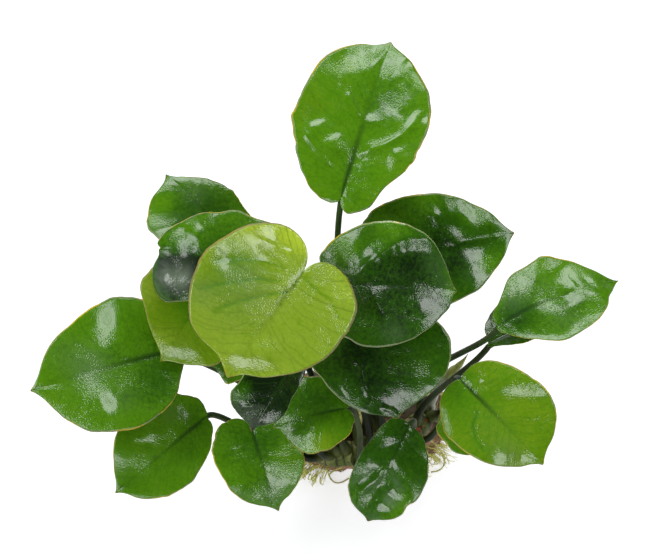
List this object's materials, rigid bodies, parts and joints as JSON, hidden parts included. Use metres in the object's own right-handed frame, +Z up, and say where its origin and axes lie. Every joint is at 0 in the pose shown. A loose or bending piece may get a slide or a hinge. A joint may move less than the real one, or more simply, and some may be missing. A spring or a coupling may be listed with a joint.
{
  "type": "aquarium plant on stone",
  "caption": "Small water plant with broad leathery heart-shaped leaves on long stalks, on a creeping rhizome whose roots hold it to a rough natural stone with a flat underside.",
  "frame": {"origin": "on the flat underside of the stone, at the foot of the middle of the plant", "axes": "+Z up, square to the stone's flat underside; +X along the rhizome and the long side of the stone, to the right as seen from the front; the front faces -Y"},
  "size_m": [0.2076, 0.1479, 0.1359],
  "materials": {
    "leaf": "gloss",
    "dark_leaf": "gloss",
    "pale_leaf": "gloss",
    "stalk": "satin",
    "rhizome": "matte",
    "sheath": "satin",
    "root": "matte",
    "moss": "matte",
    "stone": "matte"
  },
  "bodies": {
    "root": {"stone": "stone", "rhizome": "rhizome", "shoot": "sheath", "leaf_top": "leaf", "leaf_upper_left": "dark_leaf", "leaf_folded_left": "leaf", "leaf_pale_left": "pale_leaf", "leaf_great_pale": "pale_leaf", "leaf_far_left": "leaf", "leaf_lower_left": "leaf", "leaf_front_left": "leaf", "leaf_dark_left": "dark_leaf", "leaf_small_middle": "leaf", "leaf_dark_bowl": "dark_leaf", "leaf_upper_right": "dark_leaf", "leaf_far_right": "leaf", "leaf_under_right": "leaf", "leaf_lower_right": "leaf", "leaf_hidden_right": "leaf", "leaf_dark_middle": "dark_leaf", "leaf_front_middle": "dark_leaf", "leaf_hidden_left": "leaf", "stalk_top": "stalk", "stalk_upper_left": "stalk", "stalk_folded_left": "stalk", "stalk_pale_left": "stalk", "stalk_great_pale": "stalk", "stalk_far_left": "stalk", "stalk_lower_left": "stalk", "stalk_front_left": "stalk", "stalk_dark_left": "stalk", "stalk_small_middle": "stalk", "stalk_dark_bowl": "stalk", "stalk_upper_right": "stalk", "stalk_far_right": "stalk", "stalk_under_right": "stalk", "stalk_lower_right": "stalk", "stalk_hidden_right": "stalk", "stalk_dark_middle": "stalk", "stalk_front_middle": "stalk", "stalk_hidden_left": "stalk", "root_1": "root", "root_2": "root", "root_3": "root", "root_4": "root", "root_5": "root", "root_6": "root", "root_7": "root", "loose_root_1": "root", "loose_root_2": "root", "moss_front_left": "moss", "moss_right": "moss"}
  },
  "joints": []
}
